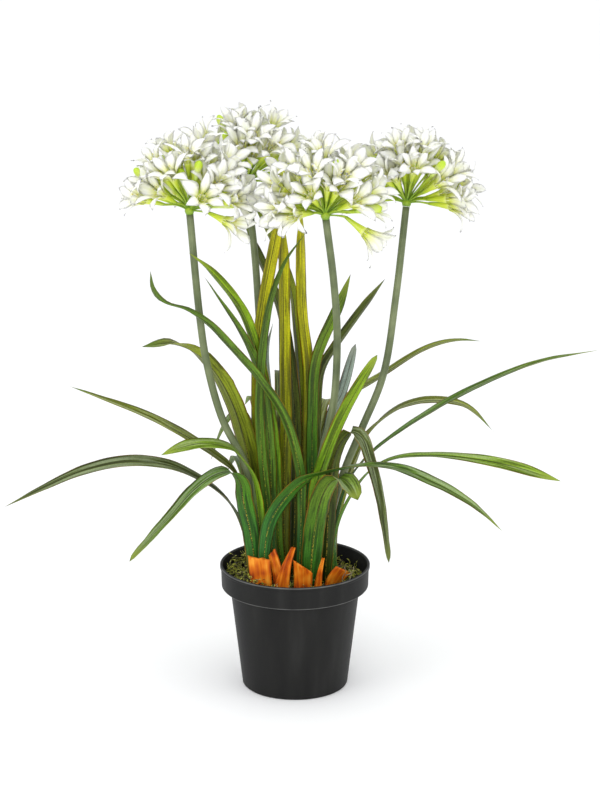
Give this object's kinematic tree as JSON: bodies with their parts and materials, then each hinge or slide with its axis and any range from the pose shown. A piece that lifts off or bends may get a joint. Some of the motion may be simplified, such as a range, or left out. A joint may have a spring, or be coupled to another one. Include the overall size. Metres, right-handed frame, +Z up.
{
  "type": "potted agapanthus plant",
  "caption": "Potted agapanthus: white umbels on leafless scapes above a clump of arching strap leaves, papery dried leaf bases, mossy soil and a round nursery pot with a deep collar.",
  "frame": {"origin": "middle of the pot's flat underside", "axes": "+Z up; -Y towards the plant's front, the side that the picture shows; +X to the right as seen from the front"},
  "size_m": [0.654, 0.3746, 0.658],
  "materials": {
    "pot": "satin",
    "soil": "matte",
    "scape": "satin",
    "leaf_green": "satin",
    "leaf_deep": "satin",
    "leaf_dark": "satin",
    "leaf_olive": "satin",
    "leaf_bright": "satin",
    "leaf_yellow": "satin",
    "leaf_grey": "satin",
    "dried_base": "matte",
    "floret": "matte"
  },
  "bodies": {
    "root": {"pot": "pot", "soil": "soil", "scape_1": "scape", "scape_2": "scape", "scape_3": "scape", "scape_4": "scape", "leaf_01": "leaf_green", "leaf_02": "leaf_green", "leaf_03": "leaf_green", "leaf_04": "leaf_green", "leaf_05": "leaf_deep", "leaf_06": "leaf_dark", "leaf_07": "leaf_olive", "leaf_08": "leaf_olive", "leaf_09": "leaf_bright", "leaf_10": "leaf_deep", "leaf_11": "leaf_green", "leaf_12": "leaf_deep", "leaf_13": "leaf_yellow", "leaf_14": "leaf_yellow", "leaf_15": "leaf_yellow", "leaf_16": "leaf_olive", "leaf_17": "leaf_dark", "leaf_18": "leaf_green", "leaf_19": "leaf_olive", "leaf_20": "leaf_grey", "leaf_21": "leaf_bright", "leaf_22": "leaf_grey", "leaf_23": "leaf_yellow", "leaf_24": "leaf_olive", "leaf_25": "leaf_green", "leaf_26": "leaf_olive", "leaf_27": "leaf_green", "leaf_28": "leaf_deep", "leaf_29": "leaf_green", "leaf_30": "leaf_dark", "leaf_31": "leaf_olive", "leaf_32": "leaf_green", "leaf_33": "leaf_deep", "leaf_34": "leaf_bright", "dried_base_1": "dried_base", "dried_base_2": "dried_base", "dried_base_3": "dried_base", "dried_base_4": "dried_base", "dried_base_5": "dried_base", "dried_base_6": "dried_base", "umbel_1": "floret", "umbel_2": "floret", "umbel_3": "floret", "umbel_4": "floret"}
  },
  "joints": []
}
